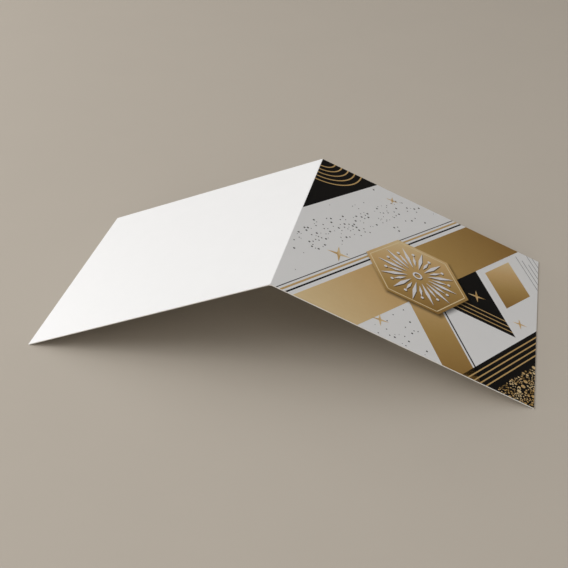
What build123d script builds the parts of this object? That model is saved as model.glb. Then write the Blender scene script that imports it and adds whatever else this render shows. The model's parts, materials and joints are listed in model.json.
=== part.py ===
"""A square greeting card: one sheet of thick white board, creased across the middle and
stood on its two cut edges like a low tent.

Millimetres, +Z up. The origin is on the table, under the middle of the fold. The fold runs
along Y, the back cover slopes down towards -X and the front cover towards +X.
"""

from build123d import *
from math import cos, radians, sin, tan
import os

# Driving dimensions
panel_width = 148.0  # each cover, from the fold to its side edge
panel_height = 148.0  # each cover, along the fold
sheet_thickness = 0.5
opening_angle = 135.0  # between the two covers, as the card stands
fold_radius = 0.65  # outside of the bend
bead_width = 1.3  # the crease's raised bead, on the inside of the fold
bead_depth = 0.12  # how far the bead bulges below the line between its two feet
trim_radius = 0.05  # the guillotine's slight rounding of every cut edge

# Each cover's slope, and the heights that follow from it
slope = radians((180.0 - opening_angle) / 2)
trim_lift = trim_radius * (sin(slope) + cos(slope) - 1)  # what the rounding takes off the foot
ridge_height = panel_width * sin(slope) + sheet_thickness * cos(slope) - trim_lift
inner_ridge_height = ridge_height - sheet_thickness / cos(slope)

# Corners of the right half of the section, as (across, up)
ridge = (0, ridge_height)
outer_end = (panel_width * cos(slope), ridge_height - panel_width * sin(slope))
inner_end = (
    outer_end[0] - sheet_thickness * sin(slope),
    outer_end[1] - sheet_thickness * cos(slope),
)
bead_foot = (bead_width / 2, inner_ridge_height - bead_width / 2 * tan(slope))
bead_bottom = (0, bead_foot[1] - bead_depth)


def mirrored(point):
    """The same point on the left half of the section."""
    return (-point[0], point[1])


with BuildPart() as folded_card:
    # The bent sheet's section, drawn across the fold
    with BuildSketch(Plane.XZ):
        with BuildLine():
            FilletPolyline(mirrored(outer_end), ridge, outer_end, radius=fold_radius)
            Polyline(outer_end, inner_end, bead_foot)
            ThreePointArc(bead_foot, bead_bottom, mirrored(bead_foot))
            Polyline(mirrored(bead_foot), mirrored(inner_end), mirrored(outer_end))
        make_face()
    extrude(amount=panel_height / 2, both=True)

    # The cut edges run round both covers' outlines, outside and inside.
    near_and_far_cuts = folded_card.faces().filter_by(Axis.Y)
    side_cuts = folded_card.faces().sort_by(Axis.X)
    cut_faces = near_and_far_cuts + [side_cuts[0], side_cuts[-1]]
    cut_edges = ShapeList({edge for face in cut_faces for edge in face.edges()})
    fillet(cut_edges, radius=trim_radius)

folded_card.part.label = "folded_card"
os.makedirs("parts", exist_ok=True)
export_step(folded_card.part, "parts/folded_card.step")
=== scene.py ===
"""A square greeting card standing as a low tent, with its print and foil, in a small studio.

Lengths are metres, in the card's own frame: the fold runs along Y, and the printed front cover
slopes down towards +X. The print is drawn flat, on a plan as large as the front cover, with X
from the fold to the side edge and Y from the near edge to the far one. Each finished piece of it
is then laid on the cover.
"""

import json
import random
from math import atan2, cos, hypot, pi, radians, sin

import bpy
from mathutils import Matrix, Vector


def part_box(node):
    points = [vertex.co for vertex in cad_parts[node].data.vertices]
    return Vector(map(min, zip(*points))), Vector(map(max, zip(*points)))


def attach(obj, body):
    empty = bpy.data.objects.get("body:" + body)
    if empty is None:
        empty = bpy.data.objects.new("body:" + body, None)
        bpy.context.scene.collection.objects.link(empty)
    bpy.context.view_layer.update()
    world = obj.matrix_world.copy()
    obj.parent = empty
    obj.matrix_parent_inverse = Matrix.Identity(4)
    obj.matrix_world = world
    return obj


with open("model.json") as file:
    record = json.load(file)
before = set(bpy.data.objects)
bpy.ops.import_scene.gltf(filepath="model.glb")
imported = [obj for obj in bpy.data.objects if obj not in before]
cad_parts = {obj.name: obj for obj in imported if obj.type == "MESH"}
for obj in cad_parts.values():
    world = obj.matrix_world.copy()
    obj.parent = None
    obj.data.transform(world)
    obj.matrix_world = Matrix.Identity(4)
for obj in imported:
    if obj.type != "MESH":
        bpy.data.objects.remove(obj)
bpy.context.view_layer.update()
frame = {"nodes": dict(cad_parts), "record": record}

MM = 0.001

# The front cover, from the frame
mounts = {mount["name"]: mount for mount in frame["record"]["mounts"]}
face_centre = Vector(mounts["front_cover_face"]["pos_m"])
face_normal = Vector(mounts["front_cover_face"]["axis"]).normalized()
card_low, card_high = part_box("folded_card")
slope = atan2(face_normal.x, face_normal.z)
down_cover = Vector((cos(slope), 0, -sin(slope)))
along_fold = Vector((0, 1, 0))
ridge_height = face_centre.z + face_centre.x * sin(slope) / cos(slope)
plan_origin = Vector((0, card_low.y, ridge_height))
cover_width = card_high.x / cos(slope)
cover_height = card_high.y - card_low.y

# The trimmed outline of the print, inside the bend and the rounded cut edges
BEND_MARGIN = 0.27 * MM
TRIM_MARGIN = 0.05 * MM

# Ink lies in levels, each a little above the last, and starts just inside the board.
LEVEL_STEP = 0.02 * MM
INK_ROOT = 0.01 * MM

# The cover's design, as shares of its width. Every straight line in it is a heading and a
# distance from the medallion's centre.
MEDALLION_CENTRE = (0.50, 0.47)
MEDALLION_REACH = 0.185
RISING = 60
FALLING = 120
LEVEL = 0
UPWARDS = 90
BACKWARDS = 180
DOWNWARDS = 270
SIX_SIDES = range(0, 360, 60)

# The heading along which most gold deepens, the flecks' size before they are scaled, and the
# foil burst: how many long rays, and how far out its beads stand, as a share of the width
GOLD_DEEPENS = -60
DOT_SIZE = 1 * MM
BURST_RAYS = 12
BEAD_RADIUS_OUT = 0.132

medallion = Vector((MEDALLION_CENTRE[0] * cover_width, MEDALLION_CENTRE[1] * cover_height, 0))


# Materials -------------------------------------------------------------------------------------


class Wire:
    """A socket in a material's node tree, on which shader maths is written as Python sums."""

    def __init__(self, finish, socket):
        self.finish = finish
        self.socket = socket

    def maths(self, operation, *values):
        settings = {"operation": operation}
        return self.finish.node("ShaderNodeMath", settings, dict(enumerate(values)))

    def __add__(self, other):
        return self.maths("ADD", self, other)

    def __radd__(self, other):
        return self.maths("ADD", other, self)

    def __sub__(self, other):
        return self.maths("SUBTRACT", self, other)

    def __rsub__(self, other):
        return self.maths("SUBTRACT", other, self)

    def __mul__(self, other):
        return self.maths("MULTIPLY", self, other)

    def __rmul__(self, other):
        return self.maths("MULTIPLY", other, self)

    def __truediv__(self, other):
        return self.maths("DIVIDE", self, other)

    def __rtruediv__(self, other):
        return self.maths("DIVIDE", other, self)

    def __abs__(self):
        return self.maths("ABSOLUTE", self)


class Finish:
    """A material being built, with its nodes."""

    def __init__(self, name):
        self.material = bpy.data.materials.new(name)
        self.material.use_nodes = True
        self.tree = self.material.node_tree
        self.tree.nodes.clear()

    def node(self, kind, settings=None, inputs=None, output=0):
        """Adds a node, sets it up, fills its sockets and returns one output."""
        node = self.tree.nodes.new(kind)
        for name, value in (settings or {}).items():
            if name == "stops":
                self.set_stops(node.color_ramp, value)
            else:
                setattr(node, name, value)
        for name, value in (inputs or {}).items():
            if isinstance(value, Wire):
                self.tree.links.new(value.socket, node.inputs[name])
            else:
                node.inputs[name].default_value = value
        return Wire(self, node.outputs[output]) if node.outputs else None

    @staticmethod
    def set_stops(ramp, stops):
        ramp.elements[0].position, ramp.elements[0].color = stops[0][0], (*stops[0][1], 1)
        ramp.elements[1].position, ramp.elements[1].color = stops[-1][0], (*stops[-1][1], 1)
        for place, colour in stops[1:-1]:
            ramp.elements.new(place).color = (*colour, 1)

    def position(self):
        """Where a point of the surface is, in the card's frame."""
        return self.node("ShaderNodeTexCoord", output="Object")

    def distance_along(self, direction, start):
        """How far a point of the surface lies along a direction, from a starting point."""
        offset = self.node(
            "ShaderNodeVectorMath",
            {"operation": "SUBTRACT"},
            {0: self.position(), 1: tuple(start)},
        )
        return self.node(
            "ShaderNodeVectorMath",
            {"operation": "DOT_PRODUCT"},
            {0: offset, 1: tuple(direction)},
            output="Value",
        )

    def noise(self, size, detail=2.0, roughness=0.5):
        """Mottling whose blotches are about as large as the size given, from 0 to 1."""
        return self.node(
            "ShaderNodeTexNoise",
            None,
            {"Vector": self.position(), "Scale": 1 / size, "Detail": detail, "Roughness": roughness},
        )

    def spread(self, value, low, high, to_low, to_high):
        """A value carried from one range to another, and held inside it."""
        inputs = {"Value": value, "From Min": low, "From Max": high, "To Min": to_low, "To Max": to_high}
        return self.node("ShaderNodeMapRange", {"clamp": True}, inputs)

    def smooth(self, value, low, high):
        """0 below a range and 1 above it, with soft ends."""
        inputs = {"Value": value, "From Min": low, "From Max": high}
        return self.node("ShaderNodeMapRange", {"interpolation_type": "SMOOTHSTEP"}, inputs)

    def mix(self, share, first, second):
        """One colour turning into another."""
        settings = {"data_type": "RGBA"}
        return self.node("ShaderNodeMix", settings, {0: share, 6: first, 7: second}, output=2)

    def shade(self, colour, amount):
        """A colour made lighter or darker all over by a factor."""
        level = self.node("ShaderNodeCombineXYZ", None, {0: amount, 1: amount, 2: amount})
        return self.node("ShaderNodeVectorMath", {"operation": "MULTIPLY"}, {0: colour, 1: level})

    def bump(self, height, depth):
        """A relief as deep as the depth given."""
        inputs = {"Height": height, "Distance": depth, "Strength": 1.0}
        return self.node("ShaderNodeBump", None, inputs)

    def surface(self, **sockets):
        """Ends the tree in one Principled surface and returns the material."""
        names = {name.replace("_", " ").title().replace("Ior", "IOR"): v for name, v in sockets.items()}
        shader = self.node("ShaderNodeBsdfPrincipled", None, names)
        self.node("ShaderNodeOutputMaterial", None, {"Surface": shader})
        return self.material


# Linear colours of the board, the inks, the foil and the table top
BOARD_WHITE = (0.86, 0.86, 0.86, 1)
CORE_WHITE = (0.87, 0.86, 0.83, 1)
GOLD_STOPS = [
    (0.0, (0.84, 0.65, 0.36)),
    (0.3, (0.71, 0.47, 0.205)),
    (0.62, (0.50, 0.31, 0.095)),
    (1.0, (0.31, 0.165, 0.032)),
]
GOLD_LINE = (0.60, 0.39, 0.15, 1)
PALE_GOLD = (0.86, 0.70, 0.42, 1)
GOLD_IN_SHADE = (0.10, 0.06, 0.018, 1)
INK_BLACK = (0.0025, 0.0022, 0.0022, 1)
INK_GREY = (0.33, 0.33, 0.345, 1)
SPECKLE_DARK = (0.045, 0.042, 0.045, 1)
FOIL_WHITE = (0.90, 0.89, 0.90, 1)
FOIL_ROSE = (0.92, 0.86, 0.90, 1)
FOIL_BLUE = (0.86, 0.89, 0.94, 1)
SHADE_INK = (0.012, 0.009, 0.005, 1)
TABLE_TONE = (0.50, 0.45, 0.385)


def card_stock():
    """Coated white board, matt inside, with a raw white core at its cut edges."""
    finish = Finish("card_stock")
    x = finish.distance_along((1, 0, 0), (0, 0, 0))
    y = finish.distance_along((0, 1, 0), (0, 0, 0))
    drop = finish.distance_along((0, 0, -1), (0, 0, ridge_height))
    down = abs(x) * cos(slope) + drop * sin(slope)
    depth = drop * cos(slope) - abs(x) * sin(slope)
    cut_margin = 0.06 * MM

    cut_side = down.maths("GREATER_THAN", down, cover_width - cut_margin)
    cut_end = y.maths("GREATER_THAN", abs(y), cover_height / 2 - cut_margin)
    cut = cut_side.maths("MAXIMUM", cut_side, cut_end)
    inside = finish.smooth(depth, 0.25 * MM, 0.3 * MM)
    crest = 1 - finish.smooth(abs(x), 0.12 * MM, 0.3 * MM)

    formation = finish.noise(9 * MM, detail=3.0)
    fibres = finish.noise(0.5 * MM, detail=4.0, roughness=0.6)
    plies = finish.node(
        "ShaderNodeTexNoise",
        {"noise_dimensions": "1D"},
        {"W": depth, "Scale": 1 / (0.07 * MM), "Detail": 1.0},
    )
    cracks = finish.smooth(finish.noise(0.35 * MM, detail=5.0, roughness=0.7), 0.5, 0.62)

    face_tone = finish.shade(BOARD_WHITE[:3], 0.985 + formation * 0.02 + fibres * 0.01)
    inner_tone = finish.shade(CORE_WHITE[:3], 0.96 + formation * 0.02 + fibres * 0.03)
    core_tone = finish.shade(CORE_WHITE[:3], 0.88 + plies * 0.16 + fibres * 0.06)
    colour = finish.mix(inside, face_tone, inner_tone)
    colour = finish.mix(cut, colour, core_tone)
    colour = finish.mix(crest * cracks * 0.35, colour, core_tone)

    gloss = 0.40 + formation * 0.08 + fibres * 0.04
    rough = gloss + inside * 0.3 + cut * 0.35 + crest * cracks * 0.25
    relief = fibres * (0.25 + inside * 0.5 + cut) + crest * cracks * 0.6
    return finish.surface(
        base_color=colour,
        roughness=rough,
        specular_ior_level=0.4,
        normal=finish.bump(relief, 0.006 * MM),
    )


def printed_surface(finish, colour, gloss, **sockets):
    """Offset ink on coated board: a fine grain of the board under a satin film."""
    fibres = finish.noise(0.5 * MM, detail=4.0, roughness=0.6)
    formation = finish.noise(7 * MM, detail=2.0)
    return finish.surface(
        base_color=finish.shade(colour, 0.96 + formation * 0.04 + fibres * 0.04),
        roughness=gloss + formation * 0.08 + fibres * 0.05,
        normal=finish.bump(fibres, 0.003 * MM),
        **sockets,
    )


def gold_gradient(name, heading, start, end):
    """Gold print that runs from pale to deep along a heading, between two distances."""
    finish = Finish(name)
    direction = down_cover * cos(radians(heading)) + along_fold * sin(radians(heading))
    travelled = finish.distance_along(direction, plan_origin)
    brushed = finish.noise(2.5 * MM, detail=3.0)
    share = (travelled - start) / (end - start) + (brushed - 0.5) * 0.05
    colour = finish.node("ShaderNodeValToRGB", {"stops": GOLD_STOPS}, {"Fac": share})
    return printed_surface(finish, colour, 0.36, metallic=0.15, specular_ior_level=0.4)


def flat_ink(name, colour, gloss=0.4, specular=0.35):
    """One ink with no gradient."""
    return printed_surface(Finish(name), colour[:3], gloss, specular_ior_level=specular)


def gold_flecks():
    """Gold ink whose tone changes from one fleck to the next."""
    finish = Finish("gold_flecks")
    share = finish.spread(finish.noise(6 * MM, detail=1.0), 0.35, 0.65, 0.0, 0.75)
    colour = finish.node("ShaderNodeValToRGB", {"stops": GOLD_STOPS}, {"Fac": share})
    return printed_surface(finish, colour, 0.36, metallic=0.15, specular_ior_level=0.4)


def pearl_foil():
    """White foil with a faint rose and blue play."""
    finish = Finish("pearl_foil")
    play = finish.noise(5 * MM, detail=1.0)
    tint = finish.mix(play, FOIL_ROSE, FOIL_BLUE)
    colour = finish.mix(0.4, FOIL_WHITE, tint)
    return printed_surface(finish, colour, 0.28, metallic=0.1, specular_ior_level=0.6)


def soft_shadow(centre, reach, blur, strength):
    """The printed shadow of the medallion: dark ink that thins out past its six sides."""
    finish = Finish("medallion_shadow")
    start = plan_origin + down_cover * centre.x + along_fold * centre.y
    farthest = None
    for heading in (RISING, FALLING, BACKWARDS):
        direction = down_cover * sin(radians(heading)) - along_fold * cos(radians(heading))
        distance = abs(finish.distance_along(direction, start))
        farthest = distance if farthest is None else distance.maths("MAXIMUM", distance, farthest)
    cover = 1 - finish.smooth(farthest, reach - blur, reach + blur)
    return finish.surface(
        base_color=SHADE_INK,
        roughness=0.6,
        specular_ior_level=0.1,
        alpha=cover * strength,
    )


# Modelling -------------------------------------------------------------------------------------


def start_piece(name):
    """Names the primitive that was just added and applies its place and size."""
    piece = bpy.context.object
    piece.name = name
    piece.data.name = name
    bpy.ops.object.transform_apply(location=True, rotation=True, scale=True)
    return piece


def deselect_all():
    bpy.ops.object.select_all(action="DESELECT")


def edit(piece, work):
    """Runs some work on all of a piece's mesh in edit mode."""
    deselect_all()
    bpy.context.view_layer.objects.active = piece
    piece.select_set(True)
    bpy.ops.object.mode_set(mode="EDIT")
    bpy.ops.mesh.select_all(action="SELECT")
    work()
    bpy.ops.object.mode_set(mode="OBJECT")


def trim(piece, lines):
    """Cuts a piece along lines, each a heading and a distance from the medallion's centre.

    What lies left of each line stays, and so the distance is to the right of the heading.
    """

    def cut():
        for heading, distance in lines:
            right = Vector((sin(radians(heading)), -cos(radians(heading)), 0))
            bpy.ops.mesh.select_all(action="SELECT")
            bpy.ops.mesh.bisect(
                plane_co=medallion + right * distance * cover_width,
                plane_no=right,
                clear_outer=True,
            )

    edit(piece, cut)


def guillotine(piece):
    """Trims a closed piece to the print's outline."""

    def cut():
        for edge, outwards in (
            (BEND_MARGIN, (-1, 0, 0)),
            (cover_width - TRIM_MARGIN, (1, 0, 0)),
            (TRIM_MARGIN, (0, -1, 0)),
            (cover_height - TRIM_MARGIN, (0, 1, 0)),
        ):
            bpy.ops.mesh.select_all(action="SELECT")
            place = (edge if outwards[0] else 0, edge if outwards[1] else 0, 0)
            bpy.ops.mesh.bisect(plane_co=place, plane_no=outwards, clear_outer=True, use_fill=True)

    edit(piece, cut)


def thicken(piece, level):
    """Raises a flat outline into a closed film whose top is at a level of ink."""

    def raise_top():
        bpy.ops.transform.translate(value=(0, 0, -INK_ROOT))
        bpy.ops.mesh.extrude_region_move(
            TRANSFORM_OT_translate={"value": (0, 0, INK_ROOT + level * LEVEL_STEP)}
        )
        bpy.ops.mesh.select_all(action="SELECT")
        bpy.ops.mesh.normals_make_consistent(inside=False)

    edit(piece, raise_top)


def join(pieces, name):
    """Makes one piece of several."""
    deselect_all()
    for piece in pieces:
        piece.select_set(True)
    bpy.context.view_layer.objects.active = pieces[0]
    bpy.ops.object.join()
    pieces[0].name = name
    pieces[0].data.name = name
    return pieces[0]


def lay_on_cover(piece, material):
    """Lays a piece of the plan on the front cover, and gives it its finish."""
    deselect_all()
    bpy.context.view_layer.objects.active = piece
    piece.select_set(True)
    turn = Matrix((down_cover, along_fold, face_normal)).transposed().to_4x4()
    piece.matrix_world = Matrix.Translation(plan_origin) @ turn
    bpy.ops.object.transform_apply(location=True, rotation=True, scale=True)
    piece.data.materials.clear()
    piece.data.materials.append(material)
    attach(piece, "root")


def sheet(name, lines, level):
    """A straight-sided field of print, trimmed out of a sheet as large as the print."""
    deselect_all()
    width = cover_width - BEND_MARGIN - TRIM_MARGIN
    height = cover_height - 2 * TRIM_MARGIN
    centre = (BEND_MARGIN + width / 2, cover_height / 2, 0)
    bpy.ops.mesh.primitive_plane_add(size=1, location=centre)
    bpy.context.object.scale = (width, height, 1)
    piece = start_piece(name)
    trim(piece, lines)
    thicken(piece, level)
    return piece


def extent(piece, heading):
    """How far a piece of the plan reaches along a heading, from and to."""
    direction = Vector((cos(radians(heading)), sin(radians(heading)), 0))
    places = [direction.dot(vertex.co) for vertex in piece.data.vertices]
    return min(places), max(places)


def gold_field(name, lines, level, heading):
    """A field of gold whose tone runs from pale to deep along a heading, over all its length."""
    piece = sheet(name, lines, level)
    material = gold_gradient(name, heading, *extent(piece, heading))
    lay_on_cover(piece, material)


def stripe(heading, distance, width):
    """The two sides of a stripe along a heading, its middle at a distance to the right."""
    return [(heading, distance + width / 2), (heading + BACKWARDS, width / 2 - distance)]


def hexagon(reach):
    """The six sides of a hexagon round the medallion's centre, each at the same distance."""
    return [(heading, reach) for heading in SIX_SIDES]


def ring(name, centre, radius, width, sides, level):
    """A flat ring of ink."""
    deselect_all()
    bpy.ops.mesh.primitive_circle_add(vertices=sides, radius=radius, fill_type="NGON", location=centre)
    piece = start_piece(name)

    def hollow():
        bpy.ops.mesh.inset(thickness=width)
        bpy.ops.mesh.delete(type="FACE")

    edit(piece, hollow)
    thicken(piece, level)
    return piece


def dot(name, radius, sides, level):
    """One round fleck of ink at the plan's origin."""
    deselect_all()
    bpy.ops.mesh.primitive_circle_add(vertices=sides, radius=radius, fill_type="NGON")
    piece = start_piece(name)
    thicken(piece, level)
    return piece


def sparkle(name, radius, level):
    """A slender star with four points, at the plan's origin."""
    deselect_all()
    waist = 0.2
    bpy.ops.mesh.primitive_circle_add(vertices=8, radius=radius, fill_type="TRIFAN")
    piece = start_piece(name)

    def pinch():
        bpy.ops.mesh.select_all(action="DESELECT")
        bpy.ops.object.mode_set(mode="OBJECT")
        for vertex in piece.data.vertices:
            on_diagonal = abs(abs(vertex.co.x) - abs(vertex.co.y)) < radius / 10
            vertex.select = on_diagonal and vertex.co.length > 0
        bpy.ops.object.mode_set(mode="EDIT")
        bpy.ops.transform.resize(value=(waist, waist, 1), center_override=(0, 0, 0))

    bpy.context.tool_settings.mesh_select_mode = (True, False, False)
    edit(piece, pinch)
    thicken(piece, level)
    return piece


def copies(pattern, places, name):
    """Copies of a small piece, each at (x, y, size, turn) on the plan, joined into one piece."""
    made = []
    for x, y, size, turn in places:
        copy = pattern.copy()
        copy.data = pattern.data.copy()
        bpy.context.collection.objects.link(copy)
        turned_and_sized = Matrix.Rotation(turn, 4, "Z") @ Matrix.Diagonal((size, size, 1, 1))
        copy.matrix_world = Matrix.Translation((x, y, 0)) @ turned_and_sized
        made.append(copy)
    bpy.data.objects.remove(pattern)
    bpy.context.view_layer.update()
    piece = join(made, name)
    deselect_all()
    piece.select_set(True)
    bpy.ops.object.transform_apply(location=True, rotation=True, scale=True)
    return piece


def on_plan(across, along):
    """A place on the plan from shares of the cover's width and height."""
    return across * cover_width, along * cover_height


def right_of(heading, x, y):
    """How far a place is to the right of the medallion's centre, as a share of the width."""
    right = Vector((sin(radians(heading)), -cos(radians(heading)), 0))
    return right.dot(Vector((x, y, 0)) - medallion) / cover_width


def is_inside(x, y, lines, margin):
    """Whether a place is left of every line, with a margin."""
    return all(right_of(heading, x, y) < distance - margin for heading, distance in lines)


def touches(x, y, size, places, apart):
    """Whether a fleck would come too near one that is already placed."""
    return any(
        hypot(x - other_x, y - other_y) < apart * (size + other_size) / 2 * DOT_SIZE
        for other_x, other_y, other_size, _ in places
    )


def scatter(number, draw, lines, sizes, margin, apart=1.6):
    """Random places inside some lines, no two of them touching, each with a size and a turn."""
    tries_for_each = 20
    places = []
    for _ in range(number * tries_for_each):
        x, y = draw()
        size = random.choice(sizes)
        turn = random.uniform(0, 2 * pi)
        near = touches(x, y, size, places, apart)
        if len(places) < number and not near and is_inside(x, y, lines, margin):
            places.append((x, y, size, turn))
    return places


def ray(name, inner, outer, half_width, level):
    """A slender kite from one radius to another along +X, widest past its middle."""
    deselect_all()
    middle = (inner + outer) / 2
    bpy.ops.mesh.primitive_circle_add(vertices=4, radius=1, fill_type="NGON", location=(middle, 0, 0))
    bpy.context.object.scale = ((outer - inner) / 2, half_width, 1)
    piece = start_piece(name)

    def swell():
        bpy.ops.object.mode_set(mode="OBJECT")
        for vertex in piece.data.vertices:
            vertex.select = abs(vertex.co.x - middle) < (outer - inner) / 10
        bpy.ops.object.mode_set(mode="EDIT")
        bpy.ops.transform.translate(value=((outer - inner) * 0.12, 0, 0))

    edit(piece, swell)
    thicken(piece, level)
    return piece


def burst(name, centre, level):
    """Long and short rays by turns, a bead at the end of each short one, and a ring in the middle."""
    step = 2 * pi / BURST_RAYS
    width = cover_width
    long_turns = [(centre.x, centre.y, 1, step * turn) for turn in range(BURST_RAYS)]
    short_turns = [(centre.x, centre.y, 1, step * (turn + 0.5)) for turn in range(BURST_RAYS)]
    out = BEAD_RADIUS_OUT * width
    bead_turns = [
        (centre.x + out * cos(turn), centre.y + out * sin(turn), 1, turn)
        for _, _, _, turn in short_turns
    ]
    parts = [
        copies(ray("ray", 0.030 * width, 0.150 * width, 0.0080 * width, level), long_turns, "long_rays"),
        copies(ray("ray", 0.052 * width, 0.117 * width, 0.0058 * width, level), short_turns, "short_rays"),
        copies(dot("bead", 0.0065 * width, 16, level), bead_turns, "beads"),
        ring("eye", centre, 0.020 * width, 0.007 * width, 32, level),
    ]
    return join(parts, name)


# Print -----------------------------------------------------------------------------------------

gold_line_ink = flat_ink("gold_line_ink", GOLD_LINE, gloss=0.36, specular=0.4)
black_ink = flat_ink("black_ink", INK_BLACK, gloss=0.5, specular=0.12)
grey_ink = flat_ink("grey_ink", INK_GREY)
speckle_ink = flat_ink("speckle_ink", SPECKLE_DARK)

# Two gold bands that cross behind the medallion, and a gold lozenge at the side
FALLING_BAND = [(FALLING, 0.025), (FALLING + BACKWARDS, 0.105), (BACKWARDS, 0.0)]
RISING_BAND = [(RISING, 0.085), (RISING + BACKWARDS, 0.125)]
LOZENGE = [(FALLING, 0.52), (FALLING + BACKWARDS, -0.355), (RISING, 0.29), (RISING + BACKWARDS, -0.11)]
gold_field("gold_band_falling", FALLING_BAND, 1, GOLD_DEEPENS)
gold_field("gold_band_rising", RISING_BAND, 2, RISING)
gold_field("gold_lozenge", LOZENGE, 1, GOLD_DEEPENS)

# Three black fields: the far corner at the fold, a triangle beside the band, the near corner
FAR_CORNER = [(RISING, -0.48)]
TRIANGLE = [(RISING + BACKWARDS, -0.085), (FALLING, 0.31), (LEVEL, 0.10)]
NEAR_CORNER = [(RISING + BACKWARDS, -0.43)]
for name, lines in (
    ("black_far_corner", FAR_CORNER),
    ("black_triangle", TRIANGLE),
    ("black_near_corner", NEAR_CORNER),
):
    lay_on_cover(sheet(name, lines, 1), black_ink)

# Stripes beside the two bands, and gold ones on the near corner and on the triangle
black_stripes = [
    sheet("stripe", stripe(RISING, -0.1465, 0.007), 1),
    sheet("stripe", stripe(RISING, -0.179, 0.0035), 1),
    sheet("stripe", stripe(FALLING, 0.037, 0.006) + [(BACKWARDS, 0.0)], 1),
]
lay_on_cover(join(black_stripes, "black_stripes"), black_ink)

gold_stripes = [sheet("stripe", stripe(RISING, -0.164, 0.008), 1)]
for step in range(4):
    gold_stripes.append(sheet("stripe", stripe(RISING, 0.450 + 0.020 * step, 0.005), 2))
for step in range(3):
    lines = stripe(BACKWARDS, -0.078 + 0.026 * step, 0.005) + TRIANGLE[:2]
    gold_stripes.append(sheet("stripe", lines, 2))
lay_on_cover(join(gold_stripes, "gold_stripes"), gold_line_ink)

# Pin stripes of uneven length in the far corner at the side edge
grey_stripes = []
for step, start in enumerate((0.10, 0.13, 0.16, 0.11, 0.14)):
    lines = stripe(FALLING, 0.583 + 0.022 * step, 0.0035) + [(RISING + BACKWARDS, -start)]
    grey_stripes.append(sheet("stripe", lines, 1))
lay_on_cover(join(grey_stripes, "grey_stripes"), grey_ink)

# A fan of gold arcs in the far corner at the fold
FAN_CENTRE = (0, cover_height, 0)
FAN_FIRST_RADIUS = 0.061
FAN_SPACING = 0.030
ARC_WIDTH = 0.006 * cover_width
arcs = []
for step in range(5):
    radius = (FAN_FIRST_RADIUS + FAN_SPACING * step) * cover_width
    arcs.append(ring("arc", FAN_CENTRE, radius, ARC_WIDTH, 96, 2))
fan = join(arcs, "gold_fan")
guillotine(fan)
lay_on_cover(fan, gold_line_ink)

# Dark speckles on the white: most of them left of the stripes, a few between the two bands
random.seed(7)


def beside_the_stripes():
    """A random place left of the rising band, most often about halfway to the fold."""
    forward = random.gauss(-0.05, 0.30) * cover_width
    sideways = random.gauss(-0.33, 0.055) * cover_width
    heading = radians(RISING)
    x = medallion.x + forward * cos(heading) + sideways * sin(heading)
    y = medallion.y + forward * sin(heading) - sideways * cos(heading)
    return x, y


def anywhere():
    """A random place on the plan."""
    return on_plan(random.random(), random.random())


SPECKLE_MARGIN = 0.006
WHOLE_PRINT = [(UPWARDS, 0.495), (DOWNWARDS, 0.495), (LEVEL, 0.465), (BACKWARDS, 0.525)]
LEFT_OF_STRIPES = [(RISING, -0.19), (RISING + BACKWARDS, 0.47)]
BETWEEN_BANDS = [(RISING + BACKWARDS, -0.10), (FALLING, -0.125)]
left_lines = LEFT_OF_STRIPES + WHOLE_PRINT
between_lines = BETWEEN_BANDS + WHOLE_PRINT
speckles = scatter(140, beside_the_stripes, left_lines, (0.55, 0.7, 0.9, 1.3), SPECKLE_MARGIN)
speckles += scatter(22, anywhere, between_lines, (0.5, 0.8, 1.2), SPECKLE_MARGIN)
speckle = dot("speckle", DOT_SIZE / 2, 10, 1)
lay_on_cover(copies(speckle, speckles, "dark_speckles"), speckle_ink)


def towards_near_corner():
    """A random place, most often close to the near corner at the side edge."""
    return on_plan(1 - abs(random.gauss(0, 0.13)), abs(random.gauss(0, 0.17)))


CONFETTI_FIELD = [(RISING + BACKWARDS, -0.535)]
CONFETTI_SIZES = (0.7, 0.9, 1.2, 1.8, 2.6)
confetti = scatter(150, towards_near_corner, CONFETTI_FIELD, CONFETTI_SIZES, 0.004, apart=1.15)
flecks = copies(dot("fleck", DOT_SIZE / 2, 12, 2), confetti, "gold_confetti")
guillotine(flecks)
lay_on_cover(flecks, gold_flecks())

# Sparkles, as (across, along, size in sparkle radii, turn in degrees)
SPARKLE_RADIUS = 5 * MM
sparkles = [
    (*on_plan(across, along), size, radians(turn))
    for across, along, size, turn in (
        (0.19, 0.37, 1.4, 10),
        (0.33, 0.93, 0.8, 8),
        (0.40, 0.09, 1.0, 12),
        (0.745, 0.52, 1.1, 10),
        (0.93, 0.47, 0.9, 10),
    )
]
stars = copies(sparkle("sparkle", SPARKLE_RADIUS, 3), sparkles, "gold_sparkles")
lay_on_cover(stars, gold_flecks())

# The medallion, with its printed shadow, rim and foil burst
SHADOW_OFFSET = Vector((0.009, -0.010, 0)) * cover_width
SHADOW_BLUR = 0.016 * cover_width
SHADOW_SPREAD = 0.035
SHADOW_STRENGTH = 0.6
shadow_sheet = sheet("medallion_shadow", hexagon(MEDALLION_REACH + SHADOW_SPREAD), 3)
shadow_reach = MEDALLION_REACH * cover_width
shadow_ink = soft_shadow(medallion + SHADOW_OFFSET, shadow_reach, SHADOW_BLUR, SHADOW_STRENGTH)
lay_on_cover(shadow_sheet, shadow_ink)
gold_field("gold_medallion", hexagon(MEDALLION_REACH), 4, GOLD_DEEPENS)

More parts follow.
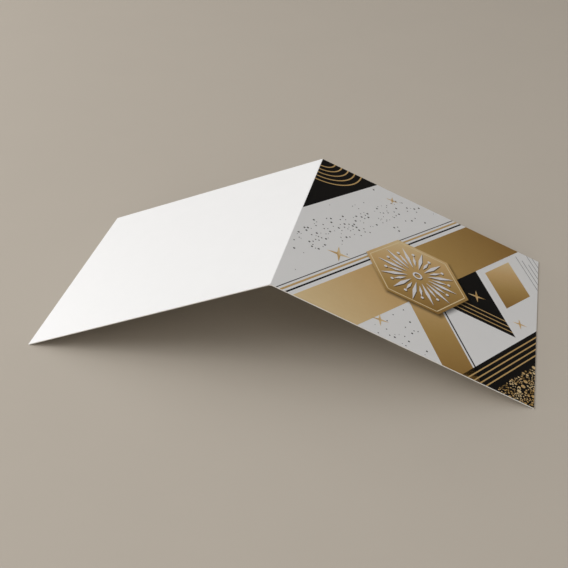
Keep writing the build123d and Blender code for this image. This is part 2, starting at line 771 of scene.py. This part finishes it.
RIM_REACH = MEDALLION_REACH - 0.012
RIM_WIDTH = 0.004
rim_sides = []
for heading in SIX_SIDES:
    lines = stripe(heading, RIM_REACH - RIM_WIDTH / 2, RIM_WIDTH) + hexagon(RIM_REACH)
    rim_sides.append(sheet("rim_side", lines, 5))
pale_gold_ink = flat_ink("pale_gold_ink", PALE_GOLD, gloss=0.36, specular=0.4)
lay_on_cover(join(rim_sides, "medallion_rim"), pale_gold_ink)
BURST_SHADOW_OFFSET = Vector((0.003, -0.004, 0)) * cover_width
burst_shadow_ink = flat_ink("burst_shadow_ink", GOLD_IN_SHADE)
lay_on_cover(burst("burst_shadow", medallion + BURST_SHADOW_OFFSET, 5), burst_shadow_ink)
lay_on_cover(burst("foil_burst", medallion, 6), pearl_foil())

frame["nodes"]["folded_card"].data.materials[0] = card_stock()

# Studio ----------------------------------------------------------------------------------------

SOFTBOX_DISTANCE = 2.2
SOFTBOX_SIZE = 1.2


def backdrop():
    """A plain matt table top that runs far out and sweeps up all round."""
    deselect_all()
    flat_reach = 3.0
    sweep_radius = 1.0
    sweep_steps = 8
    wall_height = 2.0
    bpy.ops.mesh.primitive_circle_add(
        vertices=96, radius=flat_reach, fill_type="NGON", location=(0, 0, card_low.z)
    )
    piece = start_piece("backdrop")

    def sweep_up():
        bpy.ops.mesh.select_all(action="DESELECT")
        bpy.ops.object.mode_set(mode="OBJECT")
        for edge in piece.data.edges:
            edge.select = True
        bpy.ops.object.mode_set(mode="EDIT")
        reach = flat_reach
        for step in range(1, sweep_steps + 1):
            turn = pi / 2 * step / sweep_steps
            wider = flat_reach + sweep_radius * sin(turn)
            rise = sweep_radius * (cos(turn - pi / 2 / sweep_steps) - cos(turn))
            bpy.ops.mesh.extrude_edges_move(TRANSFORM_OT_translate={"value": (0, 0, rise)})
            growth = wider / reach
            bpy.ops.transform.resize(value=(growth, growth, 1), center_override=(0, 0, 0))
            reach = wider
        bpy.ops.mesh.extrude_edges_move(TRANSFORM_OT_translate={"value": (0, 0, wall_height)})
        bpy.ops.mesh.select_all(action="SELECT")
        bpy.ops.mesh.normals_make_consistent(inside=True)

    bpy.context.tool_settings.mesh_select_mode = (False, True, False)
    edit(piece, sweep_up)
    bpy.ops.object.shade_smooth_by_angle(angle=radians(30))
    finish = Finish("table_top")
    mottle = finish.noise(60 * MM, detail=4.0)
    colour = finish.shade(TABLE_TONE, 0.985 + mottle * 0.03)
    piece.data.materials.append(finish.surface(base_color=colour, roughness=0.85, specular_ior_level=0.2))


def softbox(name, azimuth, elevation, power):
    """A square white light that looks at the card from an azimuth, measured from the left side."""
    lamp = bpy.data.lights.new(name, "AREA")
    lamp.shape = "SQUARE"
    lamp.size = SOFTBOX_SIZE
    lamp.energy = power
    holder = bpy.data.objects.new(name, lamp)
    around = radians(azimuth)
    up = radians(elevation)
    back = Vector((-cos(around) * cos(up), -sin(around) * cos(up), sin(up)))
    holder.location = back * SOFTBOX_DISTANCE
    holder.rotation_euler = (-back).to_track_quat("-Z", "Y").to_euler()
    bpy.context.collection.objects.link(holder)


def camera():
    """Looks down at the card from the front, a little to the right, through a 70 mm lens."""
    around = radians(11.91)
    up = radians(32.02)
    distance = 0.641
    aim = Vector((-8.5, 0, 10.8)) * MM
    lens = bpy.data.cameras.new("camera")
    lens.lens = 69.95
    lens.sensor_width = 36
    lens.clip_start = 0.01
    holder = bpy.data.objects.new("camera", lens)
    back = Vector((sin(around) * cos(up), -cos(around) * cos(up), sin(up)))
    holder.location = aim + back * distance
    holder.rotation_euler = (-back).to_track_quat("-Z", "Y").to_euler()
    bpy.context.collection.objects.link(holder)
    bpy.context.scene.camera = holder


def ambient(strength):
    """Even white light from all round."""
    world = bpy.data.worlds.new("studio")
    world.use_nodes = True
    background = world.node_tree.nodes["Background"]
    background.inputs["Color"].default_value = (1, 1, 1, 1)
    background.inputs["Strength"].default_value = strength
    bpy.context.scene.world = world


backdrop()
camera()
ambient(0.46)

# Where each softbox stands, as azimuth and elevation in degrees, and its power in watts
for name, azimuth, elevation, power in (
    ("left_light", 0, 30, 14.3),
    ("front_left_light", 30, 30, 15.2),
    ("front_left_high_light", 30, 45, 5.5),
    ("back_left_light", -30, 15, 10.7),
    ("front_right_light", 120, 30, 5.9),
):
    softbox(name, azimuth, elevation, power)
bpy.context.scene.view_settings.view_transform = "Standard"
